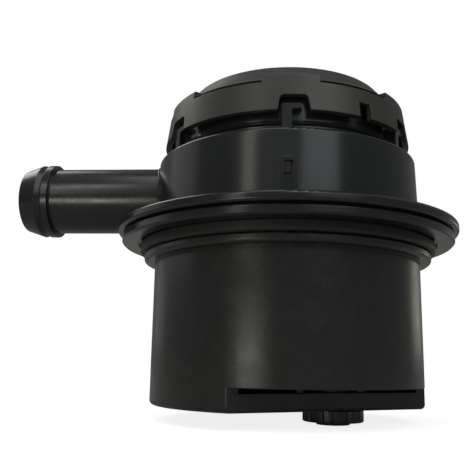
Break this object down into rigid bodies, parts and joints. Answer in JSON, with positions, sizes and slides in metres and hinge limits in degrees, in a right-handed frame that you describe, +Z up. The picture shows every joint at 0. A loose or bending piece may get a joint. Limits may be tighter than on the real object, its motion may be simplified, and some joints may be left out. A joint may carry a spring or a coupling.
{
  "type": "crankcase ventilation filter",
  "caption": "Plug-in crankcase ventilation filter: round black canister, seat flange with ring seal, side hose nozzle, and a clip-on cover over a diaphragm regulator.",
  "frame": {"origin": "on the canister's axis, in the plane of the seat face under the flange", "axes": "+Z up along the canister's axis towards the valve cover, the hose nozzle points along -X"},
  "size_m": [0.1341, 0.1026, 0.0977],
  "materials": {
    "housing_black": "satin moulded black plastic with a fine grain",
    "cover_black": "dull moulded black plastic",
    "drain_black": "glossy moulded black plastic",
    "seal_rubber": "matt black rubber",
    "diaphragm_rubber": "matt dark grey rubber",
    "inner_plastic": "dark moulded plastic",
    "ball_plastic": "smooth white plastic",
    "element_plastic": "moulded dark plastic",
    "filter_fleece": "pleated cream fleece",
    "spring_steel": "drawn spring wire"
  },
  "bodies": {
    "housing": {"canister": "housing_black", "upper_housing": "housing_black", "hose_nozzle": "housing_black", "valve_cover": "cover_black", "drain_body": "drain_black", "bore_seal": "seal_rubber", "housing_seal": "seal_rubber", "element_seal": "seal_rubber", "drain_washer": "seal_rubber", "diaphragm": "diaphragm_rubber", "relief_cage": "inner_plastic", "drain_seat": "inner_plastic", "element_top_cap": "element_plastic", "element_bottom_cap": "element_plastic", "centre_tube": "element_plastic", "filter_media": "filter_fleece", "regulator_spring": "spring_steel", "relief_spring": "spring_steel"},
    "regulator": {"diaphragm_plate": "inner_plastic"},
    "relief_valve": {"relief_disc": "inner_plastic"},
    "drain_check": {"drain_ball": "ball_plastic"}
  },
  "joints": [
    {"name": "regulator_slide", "type": "slide", "parent": "housing", "child": "regulator", "axis": [0, 0, 1], "range_m": [-0.003, 0], "stiffness_N_per_m": 250, "deforming": ["regulator_spring", "diaphragm"]},
    {"name": "relief_slide", "type": "slide", "parent": "housing", "child": "relief_valve", "axis": [0, 0, 1], "range_m": [0, 0.0025], "stiffness_N_per_m": 150, "springref_m": -0.002, "deforming": ["relief_spring"]},
    {"name": "drain_ball_lift", "type": "slide", "parent": "housing", "child": "drain_check", "axis": [0, 0, 1], "range_m": [0, 0.0023]}
  ]
}
